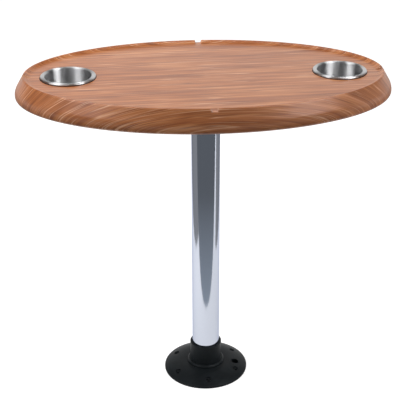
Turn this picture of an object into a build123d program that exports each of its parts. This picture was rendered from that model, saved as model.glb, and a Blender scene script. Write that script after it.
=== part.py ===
import os
from math import asin, atan2, cos, hypot, radians, sin, tan

from build123d import *

os.makedirs("parts", exist_ok=True)

# Oval board, all sizes in mm
TOP_LENGTH = 762.0
TOP_WIDTH = 457.0
TOP_THICKNESS = 46.0
RIM_HEIGHT = 6.0
RIM_INSET = 17.5
RIM_CREST = 3.0
RIM_COVE_RUN = 11.5
RIM_BREAK = 0.8
EDGE_WAIST_HEIGHT = 8.0
EDGE_WAIST_ROUND = 30.0
EDGE_FOOT_INSET = 6.0
EDGE_BAND_WIDTH = 60.0
SCUPPER_TOP_WIDTH = 14.0
SCUPPER_FLOOR_WIDTH = 11.0
SCUPPER_FALL = 0.4

# Cup holders
CUP_END_DISTANCE = 106.5
CUP_BORE = 93.0
CUP_DEPTH = 68.0
CUP_SHEET = 1.0
CUP_FLANGE_WIDTH = 7.6
CUP_RIM_HEIGHT = 3.9
CUP_MOUTH_ROUND = 1.2
CUP_BEAD_FOOT = 1.0
CUP_CORNER_RADIUS = 7.0
CUP_HOLE_CLEARANCE = 1.0

# Pole
POLE_DIAMETER = 60.3
POLE_WALL = 1.8
POLE_LENGTH = 652.0
POLE_TAPER = 0.9
POLE_END_BREAK = 0.4

# Socket moulding, used at the floor and under the board
SOCKET_DIAMETER = 187.0
SOCKET_HEIGHT = 68.5
SOCKET_FLOOR = 6.0
SOCKET_LEDGE = 5.0
SOCKET_RUN_CLEARANCE = 0.06
COLLAR_WALL = 4.8
COLLAR_LIP_BREAK = 1.4
COLLAR_RING_WIDTH = 6.0
COLLAR_RING_HEIGHT = 6.0
COLLAR_RING_BREAK = 3.0
FLANGE_EDGE = 4.0
FLANGE_EDGE_BREAK = 1.5
FLANGE_DOME_HEIGHT = 17.0
FLANGE_DOME_BULGE = 3.5
FLANGE_WALL = 3.5
RIB_THICKNESS = 3.0

# Screw holes of the moulding and its one larger blind pocket
SCREW_COUNT = 6
SCREW_CIRCLE = 150.0
SCREW_FIRST_ANGLE = 30.0
SCREW_HOLE = 5.5
SCREW_SEAT = 11.0
SCREW_SEAT_HEIGHT = 10.0
SCREW_SEAT_MARGIN = 0.8
SCREW_CONE_ANGLE = 90.0
SCREW_BOSS_WALL = 4.0
POCKET_DIAMETER = 16.5
POCKET_CIRCLE = 134.0
POCKET_ANGLE = -10.0
POCKET_FLOOR = 2.5

# Wood screws under the board
SCREW_DIAMETER = 4.8
SCREW_HEAD = 9.4
SCREW_HEAD_RIM = 0.5
SCREW_LENGTH = 32.0
SCREW_POINT = 5.0
SCREW_POINT_FLAT = 0.6
SCREW_SEAT_CLEARANCE = 0.02
PILOT_BITE = 0.1
PILOT_EXTRA_DEPTH = 1.5
RECESS_SPAN = 4.6
RECESS_SLOT = 1.1
RECESS_DEPTH = 2.2

# Heights and radii that follow from the sizes above
half_length = TOP_LENGTH / 2
half_width = TOP_WIDTH / 2
pole_radius = POLE_DIAMETER / 2
pole_end_radius = pole_radius - POLE_TAPER
pole_taper_length = SOCKET_HEIGHT - SOCKET_FLOOR
pole_foot = SOCKET_FLOOR
pole_head = pole_foot + POLE_LENGTH
top_underside = pole_head + SOCKET_FLOOR
top_surface = top_underside + TOP_THICKNESS - RIM_HEIGHT
cup_radius = CUP_BORE / 2
mouth_radius = pole_radius + SOCKET_RUN_CLEARANCE
seat_radius = pole_end_radius + SOCKET_RUN_CLEARANCE
collar_radius = mouth_radius + COLLAR_WALL
ring_radius = collar_radius + COLLAR_RING_WIDTH
ring_top = FLANGE_DOME_HEIGHT + COLLAR_RING_HEIGHT
flange_radius = SOCKET_DIAMETER / 2
screw_radius = SCREW_DIAMETER / 2
cone_slope = tan(radians(SCREW_CONE_ANGLE / 2))
head_cone_depth = (SCREW_SEAT - SCREW_HEAD) / 2 / cone_slope - SCREW_SEAT_CLEARANCE
head_sink = head_cone_depth - SCREW_HEAD_RIM
head_height = top_underside - SCREW_SEAT_HEIGHT + head_sink
screw_reach = head_height + SCREW_LENGTH - top_underside
cup_offset = half_length - CUP_END_DISTANCE
cup_spots = [(-cup_offset, 0), (cup_offset, 0)]

# Board: a rimmed edge band swept round the oval and filled by a flat core
with BuildPart() as table_top:
    with BuildSketch(Plane.XY.offset(top_underside)):
        Ellipse(half_length - EDGE_BAND_WIDTH / 2, half_width - EDGE_BAND_WIDTH / 2)
    extrude(amount=TOP_THICKNESS - RIM_HEIGHT)
    with BuildLine(Plane.XY.offset(top_underside)) as outline:
        EllipticalCenterArc((0, 0), half_length, half_width, start_angle=0, arc_size=180)
        EllipticalCenterArc((0, 0), half_length, half_width, start_angle=180, arc_size=180)
    end_plane = Plane((half_length, 0, top_underside), x_dir=(-1, 0, 0), z_dir=(0, 1, 0))
    with BuildSketch(end_plane):
        crest_inner = RIM_INSET + RIM_CREST
        cove_foot = crest_inner + RIM_COVE_RUN
        field_height = TOP_THICKNESS - RIM_HEIGHT
        slope_run = RIM_INSET - EDGE_WAIST_ROUND
        slope_rise = TOP_THICKNESS - EDGE_WAIST_HEIGHT
        lean = atan2(slope_run, slope_rise) + asin(EDGE_WAIST_ROUND / hypot(slope_run, slope_rise))
        slope_foot_inset = EDGE_WAIST_ROUND * (1 - cos(lean))
        slope_foot = (slope_foot_inset, EDGE_WAIST_HEIGHT + EDGE_WAIST_ROUND * sin(lean))
        with BuildLine():
            Line((EDGE_BAND_WIDTH, 0), (EDGE_FOOT_INSET, 0))
            TangentArc((0, EDGE_WAIST_HEIGHT), (EDGE_FOOT_INSET, 0), tangent=(0, -1))
            TangentArc((0, EDGE_WAIST_HEIGHT), slope_foot, tangent=(0, 1))
            Line(slope_foot, (RIM_INSET, TOP_THICKNESS))
            Line((RIM_INSET, TOP_THICKNESS), (crest_inner, TOP_THICKNESS))
            TangentArc((cove_foot, field_height), (crest_inner, TOP_THICKNESS), tangent=(-1, 0))
            Line((cove_foot, field_height), (EDGE_BAND_WIDTH, field_height))
            Line((EDGE_BAND_WIDTH, field_height), (EDGE_BAND_WIDTH, 0))
        band = make_face()
        fillet(band.vertices().group_by(Axis.Y)[-1], RIM_BREAK)
    sweep(path=outline.wires()[0])
    # Four drain notches through the rim at the ends of the oval's axes
    for turn in (0, 90, 180, 270):
        across = (-sin(radians(turn)), cos(radians(turn)), 0)
        outward = (cos(radians(turn)), sin(radians(turn)), 0)
        scupper_floor = top_surface - SCUPPER_FALL
        rim_spot = (half_length * outward[0], half_width * outward[1], scupper_floor)
        with BuildSketch(Plane(rim_spot, x_dir=across, z_dir=outward)):
            with BuildLine():
                Polyline(
                    (-SCUPPER_FLOOR_WIDTH / 2, 0),
                    (SCUPPER_FLOOR_WIDTH / 2, 0),
                    (SCUPPER_TOP_WIDTH / 2, RIM_HEIGHT + SCUPPER_FALL),
                    (-SCUPPER_TOP_WIDTH / 2, RIM_HEIGHT + SCUPPER_FALL),
                    close=True,
                )
            make_face()
        extrude(amount=cove_foot, both=True, mode=Mode.SUBTRACT)
    with Locations(*[(x, y, top_surface) for x, y in cup_spots]):
        Hole(radius=cup_radius + CUP_SHEET + CUP_HOLE_CLEARANCE)
    with Locations(Plane.XY.offset(top_underside)):
        with PolarLocations(SCREW_CIRCLE / 2, SCREW_COUNT, SCREW_FIRST_ANGLE):
            Cylinder(
                screw_radius - PILOT_BITE,
                screw_reach + PILOT_EXTRA_DEPTH,
                align=(Align.CENTER, Align.CENTER, Align.MIN),
                mode=Mode.SUBTRACT,
            )

# Cup: one drawn sheet with a raised rim, rolled under to rest on the board
with BuildPart() as cup:
    wall_line = cup_radius + CUP_SHEET / 2
    floor_line = top_surface - CUP_DEPTH + CUP_SHEET / 2
    rim_line = top_surface + CUP_RIM_HEIGHT - CUP_SHEET / 2
    foot_line = top_surface + CUP_SHEET / 2
    bead_line = wall_line + CUP_FLANGE_WIDTH - (rim_line - foot_line) / 2
    with BuildSketch(Plane.XZ):
        with BuildLine():
            corner_start = (wall_line - CUP_CORNER_RADIUS, floor_line)
            corner_end = (wall_line, floor_line + CUP_CORNER_RADIUS)
            mouth_start = (wall_line, rim_line - CUP_MOUTH_ROUND)
            mouth_end = (wall_line + CUP_MOUTH_ROUND, rim_line)
            bead_start = (bead_line, rim_line)
            bead_end = (bead_line, foot_line)
            Line((0, floor_line), corner_start)
            TangentArc(corner_start, corner_end, tangent=(1, 0))
            Line(corner_end, mouth_start)
            TangentArc(mouth_start, mouth_end, tangent=(0, 1))
            Line(mouth_end, bead_start)
            TangentArc(bead_start, bead_end, tangent=(1, 0))
            Line(bead_end, (bead_line - CUP_BEAD_FOOT, foot_line))
        trace(line_width=CUP_SHEET)
    revolve(axis=Axis.Z)

with BuildPart() as cup_holder_left:
    with Locations(cup_spots[0]):
        add(cup.part)

with BuildPart() as cup_holder_right:
    with Locations(cup_spots[1]):
        add(cup.part)

# Pole: a straight tube drawn in slightly at both ends to fit the tapered sockets
with BuildPart() as pole:
    with BuildSketch(Plane.XZ):
        with BuildLine():
            Polyline(
                (pole_end_radius, pole_foot),
                (pole_radius, pole_foot + pole_taper_length),
                (pole_radius, pole_head - pole_taper_length),
                (pole_end_radius, pole_head),
                (pole_end_radius - POLE_WALL, pole_head),
                (pole_radius - POLE_WALL, pole_head - pole_taper_length),
                (pole_radius - POLE_WALL, pole_foot + pole_taper_length),
                (pole_end_radius - POLE_WALL, pole_foot),
                close=True,
            )
        make_face()
    revolve(axis=Axis.Z)
    chamfer(pole.edges().filter_by(GeomType.CIRCLE).group_by(Axis.Z)[0], POLE_END_BREAK)
    chamfer(pole.edges().filter_by(GeomType.CIRCLE).group_by(Axis.Z)[-1], POLE_END_BREAK)

# Hollow left under the socket's flange, between its ribs, screw bosses and pocket
with BuildPart() as flange_hollow:
    hollow_rim = flange_radius - FLANGE_WALL
    hollow_top = FLANGE_DOME_HEIGHT - FLANGE_WALL
    with BuildSketch(Plane.XZ):
        with BuildLine():
            Polyline(
                (collar_radius, 0),
                (hollow_rim, 0),
                (ring_radius, hollow_top),
                (collar_radius, hollow_top),
                close=True,
            )
        make_face()
    revolve(axis=Axis.Z)
    with PolarLocations(SCREW_CIRCLE / 2, SCREW_COUNT, SCREW_FIRST_ANGLE):
        Cylinder(SCREW_HOLE / 2 + SCREW_BOSS_WALL, SOCKET_HEIGHT, mode=Mode.SUBTRACT)
    with PolarLocations(POCKET_CIRCLE / 2, 1, POCKET_ANGLE):
        Cylinder(POCKET_DIAMETER / 2 + FLANGE_WALL, SOCKET_HEIGHT, mode=Mode.SUBTRACT)
    with PolarLocations(0, SCREW_COUNT, SCREW_FIRST_ANGLE):
        Box(
            flange_radius,
            RIB_THICKNESS,
            SOCKET_HEIGHT,
            align=(Align.MIN, Align.CENTER, Align.CENTER),
            mode=Mode.SUBTRACT,
        )

# Floor socket: domed flange, foot ring, collar and tapered bore
with BuildPart() as floor_base:
    with BuildSketch(Plane.XZ):
        with BuildLine():
            edge_start = (flange_radius, FLANGE_EDGE - FLANGE_EDGE_BREAK)
            dome_foot = (flange_radius - FLANGE_EDGE_BREAK, FLANGE_EDGE)
            dome_crown = (ring_radius, FLANGE_DOME_HEIGHT)
            dome_middle_height = (FLANGE_EDGE + FLANGE_DOME_HEIGHT) / 2 + FLANGE_DOME_BULGE
            lip_start = (collar_radius, SOCKET_HEIGHT - COLLAR_LIP_BREAK)
            lip_end = (collar_radius - COLLAR_LIP_BREAK, SOCKET_HEIGHT)
            Polyline(lip_end, (0, SOCKET_HEIGHT), (0, 0), (flange_radius, 0), edge_start)
            TangentArc(edge_start, dome_foot, tangent=(0, 1))
            ThreePointArc(dome_foot, ((flange_radius + ring_radius) / 2, dome_middle_height), dome_crown)
            Polyline(
                dome_crown,
                (ring_radius, ring_top - COLLAR_RING_BREAK),
                (ring_radius - COLLAR_RING_BREAK, ring_top),
                (collar_radius, ring_top),
                lip_start,
            )
            TangentArc(lip_start, lip_end, tangent=(0, 1))
        make_face()
    revolve(axis=Axis.Z)
    with BuildSketch(Plane.XZ):
        with BuildLine():
            Polyline(
                (0, 0),
                (seat_radius - SOCKET_LEDGE, 0),
                (seat_radius - SOCKET_LEDGE, SOCKET_FLOOR),
                (seat_radius, SOCKET_FLOOR),
                (mouth_radius, SOCKET_HEIGHT),
                (0, SOCKET_HEIGHT),
                close=True,
            )
        make_face()
    revolve(axis=Axis.Z, mode=Mode.SUBTRACT)
    add(flange_hollow.part, mode=Mode.SUBTRACT)
    with Locations(Plane.XY.offset(SCREW_SEAT_HEIGHT)):
        with PolarLocations(SCREW_CIRCLE / 2, SCREW_COUNT, SCREW_FIRST_ANGLE):
            Cylinder(
                SCREW_SEAT / 2 + SCREW_SEAT_MARGIN,
                FLANGE_DOME_HEIGHT,
                align=(Align.CENTER, Align.CENTER, Align.MIN),
                mode=Mode.SUBTRACT,
            )
            CounterSinkHole(SCREW_HOLE / 2, SCREW_SEAT / 2, counter_sink_angle=SCREW_CONE_ANGLE)
    with Locations(Plane.XY.offset(POCKET_FLOOR)):
        with PolarLocations(POCKET_CIRCLE / 2, 1, POCKET_ANGLE):
            Cylinder(
                POCKET_DIAMETER / 2,
                FLANGE_DOME_HEIGHT,
                align=(Align.CENTER, Align.CENTER, Align.MIN),
                mode=Mode.SUBTRACT,
            )

# The same socket turned over and set against the board's underside
with BuildPart() as top_socket:
    with Locations(Location((0, 0, top_underside), (180, 0, 0))):
        add(floor_base.part)

# Countersunk wood screw with a cross recess
with BuildPart() as screw:
    with BuildSketch(Plane.XZ):
        with BuildLine():
            cone_start = head_height + SCREW_HEAD_RIM
            cone_end = cone_start + (SCREW_HEAD / 2 - screw_radius) / cone_slope
            screw_tip = head_height + SCREW_LENGTH
            Polyline(
                (0, head_height),
                (SCREW_HEAD / 2, head_height),
                (SCREW_HEAD / 2, cone_start),
                (screw_radius, cone_end),
                (screw_radius, screw_tip - SCREW_POINT),
                (SCREW_POINT_FLAT, screw_tip),
                (0, screw_tip),
                close=True,
            )
        make_face()
    revolve(axis=Axis.Z)
    with Locations((0, 0, head_height)):
        for slot_length, slot_width in ((RECESS_SPAN, RECESS_SLOT), (RECESS_SLOT, RECESS_SPAN)):
            Box(
                slot_length,
                slot_width,
                RECESS_DEPTH,
                align=(Align.CENTER, Align.CENTER, Align.MIN),
                mode=Mode.SUBTRACT,
            )

# The ring of screws that holds the upper socket
with BuildPart() as top_socket_screws:
    with PolarLocations(SCREW_CIRCLE / 2, SCREW_COUNT, SCREW_FIRST_ANGLE):
        add(screw.part)

table_top.part.label = "table_top"
cup_holder_left.part.label = "cup_holder_left"
cup_holder_right.part.label = "cup_holder_right"
pole.part.label = "pole"
floor_base.part.label = "floor_base"
top_socket.part.label = "top_socket"
top_socket_screws.part.label = "top_socket_screws"

export_step(table_top.part, "parts/table_top.step")
export_step(cup_holder_left.part, "parts/cup_holder_left.step")
export_step(cup_holder_right.part, "parts/cup_holder_right.step")
export_step(pole.part, "parts/pole.step")
export_step(floor_base.part, "parts/floor_base.step")
export_step(top_socket.part, "parts/top_socket.step")
export_step(top_socket_screws.part, "parts/top_socket_screws.step")
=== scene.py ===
import math

import bpy
from mathutils import Matrix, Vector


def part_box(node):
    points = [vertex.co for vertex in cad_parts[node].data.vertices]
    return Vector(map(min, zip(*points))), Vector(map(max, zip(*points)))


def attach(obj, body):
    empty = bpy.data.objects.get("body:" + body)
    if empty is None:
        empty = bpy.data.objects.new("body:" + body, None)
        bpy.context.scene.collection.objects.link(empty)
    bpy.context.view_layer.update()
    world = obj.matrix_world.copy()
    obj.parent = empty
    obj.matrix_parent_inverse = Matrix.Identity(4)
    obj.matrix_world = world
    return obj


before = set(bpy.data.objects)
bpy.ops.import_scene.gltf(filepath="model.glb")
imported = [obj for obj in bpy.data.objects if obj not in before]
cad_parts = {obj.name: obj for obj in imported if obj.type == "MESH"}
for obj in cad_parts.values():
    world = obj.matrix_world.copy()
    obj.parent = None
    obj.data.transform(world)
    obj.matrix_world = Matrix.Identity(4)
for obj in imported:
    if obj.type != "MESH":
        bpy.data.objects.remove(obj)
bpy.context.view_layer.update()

# Camera fitted to the photograph, in metres, degrees and pixels of its 400 pixel frame
FRAME_PIXELS = 400.0
FOCAL_PIXELS = 1051.4
SENSOR_MM = 36.0
CAMERA_DISTANCE = 2.0176
CAMERA_SIDE_STEP = 0.0636
CAMERA_HEIGHT = 1.4002
CAMERA_TURN = -6.432
CAMERA_PITCH = 25.850
CAMERA_ROLL = 0.775
AXIS_PIXEL = 235.5

# Board in metres: its corners from the frame, the crest of its rim and the face inside the rim
board_low, board_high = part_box("table_top")
BOARD_LENGTH = board_high.x - board_low.x
BOARD_WIDTH = board_high.y - board_low.y
BOARD_CREST = board_high.z
RIM_RISE = 0.006
BOARD_FACE = BOARD_CREST - RIM_RISE

# Film over the board: plan weights that turn a place on the oval into its outward direction,
# and the share of each step down the edge that the film runs outwards
OVAL_PULL = ((BOARD_WIDTH / BOARD_LENGTH) ** 2, 1.0, 0.0)
WRAP_RATE = 0.55

# Grain of the film: its slant over the board, where its pattern starts and how far it bends
GRAIN_LEAN = 0.05
GRAIN_START = 2.9
BEND_SCALE = (1.2, 2.4, 0.0)
BEND_REACH = 0.025

# Layers of the grain, as noise scales along and across it, and their shares in its tone
BROAD_SCALE = (1.6, 26.0, 0.0)
STREAK_SCALE = (6.0, 96.0, 0.0)
STREAK_ROUGHNESS = 0.55
FINE_SCALE = (12.0, 620.0, 0.0)
BROAD_SHARE = 0.24
STREAK_SHARE = 0.46
FINE_SHARE = 0.30

# Colours of the grain from its darkest tone to its palest
GRAIN_TONES = [
    (0.39, (0.255, 0.074, 0.0215)),
    (0.465, (0.375, 0.121, 0.038)),
    (0.535, (0.455, 0.158, 0.0515)),
    (0.61, (0.580, 0.240, 0.095)),
]

# Thin lines in the grain, and the noise values between which each line breaks off
DARK_LINES = {
    "scale": (2.0, 115.0, 0.0),
    "break_scale": (11.0, 90.0, 0.0),
    "width": 0.030,
    "strength": 0.80,
    "colour": (0.21, 0.062, 0.022),
}
PALE_LINES = {
    "scale": (1.8, 105.0, 0.0),
    "break_scale": (11.0, 150.0, 0.0),
    "width": 0.020,
    "strength": 0.85,
    "colour": (0.76, 0.42, 0.25),
}
LINE_BREAK = (0.42, 0.52)

# Value that a noise swings about
NOISE_MIDDLE = 0.5

# Surface of the film, with the crest of the rim softened by a small radius in metres
FILM_ROUGHNESS = 0.30
CREST_RADIUS = 0.005
CREST_SAMPLES = 8
FILM_RELIEF = 0.08
FILM_RELIEF_DEPTH = 0.0004

# Black plastic: its two tones and its moulded grain
PLASTIC_TONES = [(0.3, (0.0105, 0.0132, 0.0152)), (0.7, (0.015, 0.0188, 0.0214))]
PLASTIC_CLOUD_SCALE = 30.0
PLASTIC_GRAIN_SCALE = 1800.0
PLASTIC_ROUGHNESS = 0.42
PLASTIC_SHINE = 0.10
PLASTIC_RELIEF = 0.15
PLASTIC_RELIEF_DEPTH = 0.0003

# Slim dark ring at the foot of each cup's rim, a painted shadow for the shade under the rim: step out from
# the rim and height over the board, in metres
RIM_SHADOW_PROFILE = [
    (-0.0011, 0.0),
    (-0.0007, 0.00035),
    (-0.0003, 0.0007),
    (-0.0001, 0.0011),
    (0.0005, 0.00095),
    (0.0010, 0.00055),
    (0.0012, 0.0),
]
RIM_SHADOW_STEPS = 96

# Angle between faces above which an edge stays crisp
CRISP_ANGLE = math.radians(32.0)

# Floor: its size in metres, its shade as light on the object and as seen, and its own glow where seen
FLOOR_SIZE = 40.0
FLOOR_SHADE = 0.40
FLOOR_SEEN_SHADE = 0.50
FLOOR_GLOW = 0.83

# Edges of the white sheet under the object, in metres, and the darker studio floor beyond it
SHEET_FRONT = -0.31
SHEET_LEFT = -0.62
SHEET_RIGHT = 0.60
SHEET_SIDE = -0.10
STUDIO_REACH = 4.0
STUDIO_LIFT = 0.002
STUDIO_FADE = (0.35, 0.95)
FRONT_NEAR_LEVEL = (0.375, 0.42, 0.465)
FRONT_FAR_LEVEL = (0.16, 0.17, 0.18)
SIDE_LEVEL = (0.36, 0.36, 0.36)

# Sails of the studio as reach of the foot, height of the foot and height of the peak, in metres
LOW_SAIL = (2.6, 1.05, 3.0)
HIGH_SAIL = (1.5, 1.60, 2.75)
BACK_SAIL = (1.9, 2.0, 2.9)
DARK_LEVEL = (0.02, 0.022, 0.025)

# Each sail's name, first and last direction in degrees from the front to the right, shape and level
SAILS = [
    ("sail_front", -60.0, 0.0, LOW_SAIL, DARK_LEVEL),
    ("sail_near_right", 0.0, 65.0, LOW_SAIL, DARK_LEVEL),
    ("sail_right", 65.0, 130.0, LOW_SAIL, DARK_LEVEL),
    ("sail_near_left", -110.0, -60.0, LOW_SAIL, DARK_LEVEL),
    ("sail_left", -150.0, -110.0, LOW_SAIL, DARK_LEVEL),
    ("sail_back_right", 130.0, 170.0, BACK_SAIL, DARK_LEVEL),
    ("sail_back_left", 170.0, 210.0, BACK_SAIL, DARK_LEVEL),
    ("bright_left", -98.0, -52.0, HIGH_SAIL, (5.6, 5.6, 5.7)),
    ("bright_right", 44.0, 80.0, HIGH_SAIL, (8.2, 8.2, 8.3)),
]

# Upright bright panels: reach, foot and head in metres, then name, directions and level of each
PANEL_REACH = 1.45
PANEL_FOOT = 1.30
PANEL_HEAD = 1.80
PANELS = [
    ("panel_left", -70.0, -43.0, (3.6, 3.6, 3.7)),
    ("panel_right", 38.0, 66.0, (6.0, 6.0, 6.2)),
]

# Lamps: place and size in metres, and power in watts
LAMP_AIM = (0.0, 0.0, 0.70)
LAMPS = [
    ("back_light", (-0.85, 0.25, 2.5), (1.4, 1.2), 32.0),
    ("left_light", (-2.1, -0.2, 1.25), (0.8, 1.0), 12.0),
    ("right_light", (2.1, -0.2, 1.25), (0.8, 1.0), 17.0),
]
WORLD_STRENGTH = 0.33

# Sockets of a colour mix node by number, because several share one name
MIX_FACTOR = 0
MIX_BASE = 6
MIX_COLOUR = 7
MIX_RESULT = 2

BLACK = (0.0, 0.0, 0.0)
WHITE = (1.0, 1.0, 1.0)


def new_material(name):
    """A node material with its node tree and principled shader."""
    material = bpy.data.materials.new(name)
    material.use_nodes = True
    tree = material.node_tree
    return material, tree, tree.nodes["Principled BSDF"]


def add_node(tree, kind, sockets=None, **settings):
    """Adds a shader node; an input given as another node's socket is linked, anything else is set."""
    made = tree.nodes.new(kind)
    for key, value in settings.items():
        setattr(made, key, value)
    for key, value in (sockets or {}).items():
        if isinstance(value, bpy.types.NodeSocket):
            tree.links.new(value, made.inputs[key])
        else:
            made.inputs[key].default_value = value
    return made


def math_node(tree, operation, first, second=0.0):
    """Output of a math node on one or two values."""
    return add_node(tree, "ShaderNodeMath", {0: first, 1: second}, operation=operation).outputs[0]


def vector_node(tree, operation, sockets):
    """Vector output of a vector math node."""
    return add_node(tree, "ShaderNodeVectorMath", sockets, operation=operation).outputs[0]


def ramp(tree, factor, stops):
    """Output of a colour ramp through (position, colour) stops."""
    made = add_node(tree, "ShaderNodeValToRGB", {"Fac": factor})
    elements = made.color_ramp.elements
    while len(elements) < len(stops):
        elements.new(1.0)
    for element, (position, colour) in zip(elements, stops):
        element.position = position
        element.color = (*colour, 1.0)
    return made.outputs["Color"]


def object_place(tree):
    """Place on the object, in metres."""
    return add_node(tree, "ShaderNodeTexCoord").outputs["Object"]


def stretched_noise(tree, place, scale, detail=2.0, roughness=0.5):
    """Noise value over a place vector stretched by a scale per axis."""
    mapped = add_node(tree, "ShaderNodeMapping", {"Vector": place, "Scale": scale})
    settings = {"Vector": mapped.outputs[0], "Scale": 1.0, "Detail": detail, "Roughness": roughness}
    return add_node(tree, "ShaderNodeTexNoise", settings).outputs["Fac"]


def seen_directly(tree):
    """One where a ray comes from the camera or from a reflection, and zero elsewhere."""
    path = add_node(tree, "ShaderNodeLightPath").outputs
    return math_node(tree, "MAXIMUM", path["Is Camera Ray"], path["Is Glossy Ray"])


def wrapped_film(tree):
    """Place on a sheet laid flat on the board and wrapped straight down over its oval edge."""
    place = object_place(tree)
    flat = vector_node(tree, "MULTIPLY", {0: place, 1: (1.0, 1.0, 0.0)})
    pull = vector_node(tree, "MULTIPLY", {0: flat, 1: OVAL_PULL})
    outward = vector_node(tree, "NORMALIZE", {0: pull})
    height = add_node(tree, "ShaderNodeSeparateXYZ", {0: place}).outputs["Z"]
    drop = math_node(tree, "SUBTRACT", BOARD_CREST, height)
    wrap = math_node(tree, "MULTIPLY", drop, WRAP_RATE)
    spread = vector_node(tree, "SCALE", {0: outward, "Scale": wrap})
    return vector_node(tree, "ADD", {0: flat, 1: spread})


def grain_plan(tree):
    """Place along and across the grain, which leans over the board and bends slowly."""
    film = wrapped_film(tree)
    split = add_node(tree, "ShaderNodeSeparateXYZ", {0: film}).outputs
    bend = stretched_noise(tree, film, BEND_SCALE, detail=1.0)
    shift = math_node(tree, "MULTIPLY", math_node(tree, "SUBTRACT", bend, NOISE_MIDDLE), BEND_REACH)
    lean = math_node(tree, "MULTIPLY", split["X"], GRAIN_LEAN)
    lean = math_node(tree, "ADD", lean, GRAIN_START)
    across = math_node(tree, "ADD", math_node(tree, "SUBTRACT", split["Y"], lean), shift)
    return add_node(tree, "ShaderNodeCombineXYZ", {0: split["X"], 1: across}).outputs[0]


def with_grain_lines(tree, base, plan, scale, break_scale, width, strength, colour):
    """A base colour with thin broken lines drawn where a stretched noise crosses its middle value."""
    wave = stretched_noise(tree, plan, scale)
    away = math_node(tree, "ABSOLUTE", math_node(tree, "SUBTRACT", wave, NOISE_MIDDLE))
    line = ramp(tree, away, [(0.0, (strength, strength, strength)), (width, BLACK)])
    breaks = stretched_noise(tree, plan, break_scale, detail=1.0)
    dashes = ramp(tree, breaks, [(LINE_BREAK[0], BLACK), (LINE_BREAK[1], WHITE)])
    drawn = math_node(tree, "MULTIPLY", line, dashes)
    sockets = {MIX_FACTOR: drawn, MIX_BASE: base, MIX_COLOUR: (*colour, 1.0)}
    return add_node(tree, "ShaderNodeMix", sockets, data_type="RGBA").outputs[MIX_RESULT]


def wood_film():
    """Wood-grain film pressed over the board and its edge."""
    material, tree, shader = new_material("wood_film")
    plan = grain_plan(tree)
    broad = stretched_noise(tree, plan, BROAD_SCALE)
    streak = stretched_noise(tree, plan, STREAK_SCALE, roughness=STREAK_ROUGHNESS)
    fine = stretched_noise(tree, plan, FINE_SCALE)
    tone = math_node(tree, "MULTIPLY", broad, BROAD_SHARE)
    tone = math_node(tree, "ADD", tone, math_node(tree, "MULTIPLY", streak, STREAK_SHARE))
    tone = math_node(tree, "ADD", tone, math_node(tree, "MULTIPLY", fine, FINE_SHARE))
    figure = ramp(tree, tone, GRAIN_TONES)
    figure = with_grain_lines(tree, figure, plan, **DARK_LINES)
    figure = with_grain_lines(tree, figure, plan, **PALE_LINES)
    tree.links.new(figure, shader.inputs["Base Color"])
    shader.inputs["Roughness"].default_value = FILM_ROUGHNESS
    soft_crest = add_node(tree, "ShaderNodeBevel", {"Radius": CREST_RADIUS}, samples=CREST_SAMPLES)
    relief = {
        "Height": fine,
        "Strength": FILM_RELIEF,
        "Distance": FILM_RELIEF_DEPTH,
        "Normal": soft_crest.outputs[0],
    }
    bump = add_node(tree, "ShaderNodeBump", relief)
    tree.links.new(bump.outputs[0], shader.inputs["Normal"])
    return material


def bare_metal(name, colour, roughness, line_scale, line_strength):
    """A metal with fine lines in its polish, as material, node tree and shader."""
    material, tree, shader = new_material(name)
    lines = stretched_noise(tree, object_place(tree), line_scale, detail=3.0)
    spread = math_node(tree, "MULTIPLY", lines, line_strength)
    varied = math_node(tree, "ADD", spread, roughness - line_strength / 2)
    tree.links.new(varied, shader.inputs["Roughness"])
    shader.inputs["Base Color"].default_value = (*colour, 1.0)
    shader.inputs["Metallic"].default_value = 1.0
    return material, tree, shader


def drawn_steel():
    """Steel drawn into a cup; fine turning lines round the cup stretch each reflection upwards."""
    material, tree, shader = bare_metal(
        "cup_steel",
        colour=(0.62, 0.62, 0.62),
        roughness=0.42,
        line_scale=(60.0, 60.0, 1500.0),
        line_strength=0.04,
    )
    round_the_cup = add_node(tree, "ShaderNodeTangent", direction_type="RADIAL", axis="Z")
    tree.links.new(round_the_cup.outputs[0], shader.inputs["Tangent"])
    shader.inputs["Anisotropic"].default_value = 1.0
    shader.inputs["Anisotropic Rotation"].default_value = 0.25
    return material


def polished_aluminium():
    """Bright aluminium tube with fine lines along it, darker and bluer at a slant."""
    material, _, shader = bare_metal(
        "pole_aluminium",
        colour=(0.53, 0.56, 0.635),
        roughness=0.10,
        line_scale=(900.0, 900.0, 4.0),
        line_strength=0.05,
    )
    shader.inputs["Specular Tint"].default_value = (0.55, 0.58, 0.68, 1.0)
    return material


def plated_steel():
    """Zinc plated steel of the wood screws."""
    material, _, _ = bare_metal(
        "screw_steel",
        colour=(0.62, 0.62, 0.63),
        roughness=0.30,
        line_scale=(800.0, 800.0, 800.0),
        line_strength=0.10,
    )
    return material


def moulded_plastic():
    """Black plastic with a fine moulded grain."""
    material, tree, shader = new_material("black_plastic")
    place = object_place(tree)
    grain = add_node(
        tree,
        "ShaderNodeTexNoise",
        {"Vector": place, "Scale": PLASTIC_GRAIN_SCALE, "Detail": 2.0},
    )
    cloud = add_node(
        tree,
        "ShaderNodeTexNoise",
        {"Vector": place, "Scale": PLASTIC_CLOUD_SCALE, "Detail": 3.0},
    )
    tone = ramp(tree, cloud.outputs["Fac"], PLASTIC_TONES)
    tree.links.new(tone, shader.inputs["Base Color"])
    shader.inputs["Roughness"].default_value = PLASTIC_ROUGHNESS
    shader.inputs["Specular IOR Level"].default_value = PLASTIC_SHINE
    relief = {
        "Height": grain.outputs["Fac"],
        "Strength": PLASTIC_RELIEF,
        "Distance": PLASTIC_RELIEF_DEPTH,
    }
    bump = add_node(tree, "ShaderNodeBump", relief)
    tree.links.new(bump.outputs[0], shader.inputs["Normal"])
    return material


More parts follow.
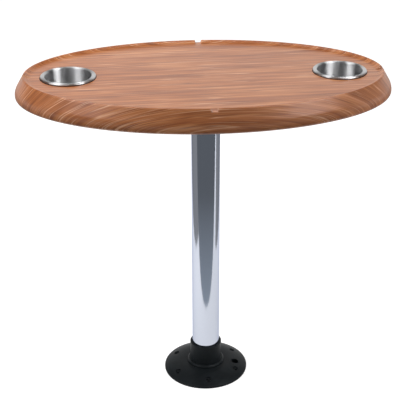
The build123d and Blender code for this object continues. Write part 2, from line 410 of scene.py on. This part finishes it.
def shade_smooth(mesh):
    """Smooth shading on every face of a mesh."""
    mesh.polygons.foreach_set("use_smooth", [True] * len(mesh.polygons))


def dress(node, material):
    """Gives a CAD node one material and smooth shading with crisp corners."""
    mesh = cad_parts[node].data
    mesh.materials.clear()
    mesh.materials.append(material)
    shade_smooth(mesh)
    mesh.set_sharp_from_angle(angle=CRISP_ANGLE)


def link_mesh(name, points, faces, material):
    """A new object in the scene from points and faces, with one material."""
    mesh = bpy.data.meshes.new(name)
    mesh.from_pydata(points, [], faces)
    mesh.materials.append(material)
    made = bpy.data.objects.new(name, mesh)
    bpy.context.collection.objects.link(made)
    return made


def rim_shadow_ring(name, cup, material):
    """A soft dark ring lying on the board round one cup, a painted shadow under its rim."""
    low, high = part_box(cup)
    middle = (low + high) / 2
    rim_radius = (high.x - low.x) / 2
    points = []
    faces = []
    count = len(RIM_SHADOW_PROFILE)
    for step in range(RIM_SHADOW_STEPS):
        angle = 2.0 * math.pi * step / RIM_SHADOW_STEPS
        for step_out, height in RIM_SHADOW_PROFILE:
            radius = rim_radius + step_out
            along = middle.x + radius * math.cos(angle)
            across = middle.y + radius * math.sin(angle)
            points.append((along, across, BOARD_FACE + height))
        here = step * count
        there = (step + 1) % RIM_SHADOW_STEPS * count
        for index in range(count):
            after = (index + 1) % count
            faces.append((here + index, there + index, there + after, here + after))
    shadow_ring = link_mesh(name, points, faces, material)
    shade_smooth(shadow_ring.data)
    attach(shadow_ring, "top")


def white_floor():
    """Pale floor: white to the camera and to reflections, with the object's shadow kept."""
    bpy.ops.mesh.primitive_plane_add(size=FLOOR_SIZE, location=(0, 0, 0))
    floor = bpy.context.object
    floor.name = "floor"
    material, tree, shader = new_material("floor_white")
    tree.nodes.remove(shader)
    plain_colour = (FLOOR_SHADE, FLOOR_SHADE, FLOOR_SHADE, 1.0)
    seen_colour = (FLOOR_SEEN_SHADE, FLOOR_SEEN_SHADE, FLOOR_SEEN_SHADE, 1.0)
    plain = add_node(tree, "ShaderNodeBsdfDiffuse", {"Color": plain_colour})
    shaded = add_node(tree, "ShaderNodeBsdfDiffuse", {"Color": seen_colour})
    glow = add_node(tree, "ShaderNodeEmission", {"Color": (*WHITE, 1.0), "Strength": FLOOR_GLOW})
    white = add_node(tree, "ShaderNodeAddShader", {0: shaded.outputs[0], 1: glow.outputs[0]})
    choice = {0: seen_directly(tree), 1: plain.outputs[0], 2: white.outputs[0]}
    both = add_node(tree, "ShaderNodeMixShader", choice)
    tree.links.new(both.outputs[0], tree.nodes["Material Output"].inputs["Surface"])
    floor.data.materials.append(material)


def mirrored_card(name, corners, near_level, far_level):
    """A flat card that shows only in mirrored light, fading between two levels away from the object."""
    material, tree, shader = new_material(name)
    tree.nodes.remove(shader)
    place = add_node(tree, "ShaderNodeNewGeometry").outputs["Position"]
    reach = add_node(tree, "ShaderNodeVectorMath", {0: place}, operation="LENGTH").outputs["Value"]
    fade = ramp(tree, reach, [(STUDIO_FADE[0], near_level), (STUDIO_FADE[1], far_level)])
    glow = add_node(tree, "ShaderNodeEmission", {"Color": fade, "Strength": 1.0})
    tree.links.new(glow.outputs[0], tree.nodes["Material Output"].inputs["Surface"])
    card = link_mesh(name, corners, [tuple(range(len(corners)))], material)
    card.visible_camera = False
    card.visible_diffuse = False
    card.visible_transmission = False
    card.visible_shadow = False


def studio_floor(name, low, high, near_level, far_level):
    """A stretch of the floor beyond the white sheet."""
    corners = [
        (low[0], low[1], STUDIO_LIFT),
        (high[0], low[1], STUDIO_LIFT),
        (high[0], high[1], STUDIO_LIFT),
        (low[0], high[1], STUDIO_LIFT),
    ]
    mirrored_card(name, corners, near_level, far_level)


def plan_spot(turn, reach):
    """Plan position at a distance from the pole, in a direction in degrees from the front to the right."""
    angle = math.radians(turn)
    return reach * math.sin(angle), -reach * math.cos(angle)


def studio_sail(name, first_turn, last_turn, shape, level):
    """A sail from a peak over the table down to a line between two directions."""
    reach, foot, peak = shape
    corners = [(*plan_spot(turn, reach), foot) for turn in (first_turn, last_turn)]
    mirrored_card(name, [(0.0, 0.0, peak), *corners], level, level)


def studio_panel(name, first_turn, last_turn, level):
    """An upright panel between two directions."""
    start = plan_spot(first_turn, PANEL_REACH)
    end = plan_spot(last_turn, PANEL_REACH)
    corners = [(*start, PANEL_FOOT), (*end, PANEL_FOOT), (*end, PANEL_HEAD), (*start, PANEL_HEAD)]
    mirrored_card(name, corners, level, level)


def white_world():
    """White surroundings, brighter where seen directly or mirrored than as light on the object."""
    world = bpy.data.worlds.new("studio")
    bpy.context.scene.world = world
    world.use_nodes = True
    tree = world.node_tree
    extra = math_node(tree, "MULTIPLY", seen_directly(tree), 1.0 - WORLD_STRENGTH)
    level = math_node(tree, "ADD", WORLD_STRENGTH, extra)
    background = tree.nodes["Background"]
    tree.links.new(level, background.inputs["Strength"])
    background.inputs["Color"].default_value = (*WHITE, 1.0)


def softbox(name, location, size, watts):
    """A rectangular area lamp turned towards the board and left out of mirrored light."""
    data = bpy.data.lights.new(name, "AREA")
    data.shape = "RECTANGLE"
    data.size = size[0]
    data.size_y = size[1]
    data.energy = watts
    lamp = bpy.data.objects.new(name, data)
    lamp.location = location
    along, across, rise = (end - start for end, start in zip(LAMP_AIM, location))
    lamp.rotation_euler = (
        math.atan2(math.hypot(along, across), -rise),
        0.0,
        math.atan2(-along, across),
    )
    lamp.visible_glossy = False
    bpy.context.collection.objects.link(lamp)


def place_camera():
    """The fitted camera, its picture shifted so that its axis lies on the fitted pixel."""
    data = bpy.data.cameras.new("camera")
    data.sensor_width = SENSOR_MM
    data.lens = SENSOR_MM * FOCAL_PIXELS / FRAME_PIXELS
    data.shift_x = (FRAME_PIXELS / 2 - AXIS_PIXEL) / FRAME_PIXELS
    camera = bpy.data.objects.new("camera", data)
    turn = Matrix.Rotation(math.radians(CAMERA_TURN), 4, "Z")
    stand = Matrix.Translation((CAMERA_SIDE_STEP, -CAMERA_DISTANCE, CAMERA_HEIGHT))
    tilt = Matrix.Rotation(math.radians(90.0 - CAMERA_PITCH), 4, "X")
    roll = Matrix.Rotation(math.radians(CAMERA_ROLL), 4, "Z")
    camera.matrix_world = turn @ stand @ tilt @ roll
    bpy.context.collection.objects.link(camera)
    bpy.context.scene.camera = camera


# Materials on the CAD pieces
cup_steel = drawn_steel()
plastic = moulded_plastic()
dress("table_top", wood_film())
dress("cup_holder_left", cup_steel)
dress("cup_holder_right", cup_steel)
dress("pole", polished_aluminium())
dress("floor_base", plastic)
dress("top_socket", plastic)
dress("top_socket_screws", plated_steel())

# Dark rings under the cups' rims in black plastic, painted shadow
rim_shadow_ring("rim_shadow_ring_left", "cup_holder_left", plastic)
rim_shadow_ring("rim_shadow_ring_right", "cup_holder_right", plastic)

# Floor, and the darker studio round the object that only reflections meet
white_floor()
far = STUDIO_REACH
studio_floor("studio_front", (-far, -far), (far, SHEET_FRONT), FRONT_NEAR_LEVEL, FRONT_FAR_LEVEL)
studio_floor("studio_left", (-far, SHEET_FRONT), (SHEET_LEFT, far), SIDE_LEVEL, SIDE_LEVEL)
studio_floor("studio_right", (SHEET_RIGHT, SHEET_SIDE), (far, far), SIDE_LEVEL, SIDE_LEVEL)
for sail in SAILS:
    studio_sail(*sail)
for panel in PANELS:
    studio_panel(*panel)

# Light and camera
white_world()
for lamp in LAMPS:
    softbox(*lamp)
place_camera()
bpy.context.scene.view_settings.view_transform = "Standard"
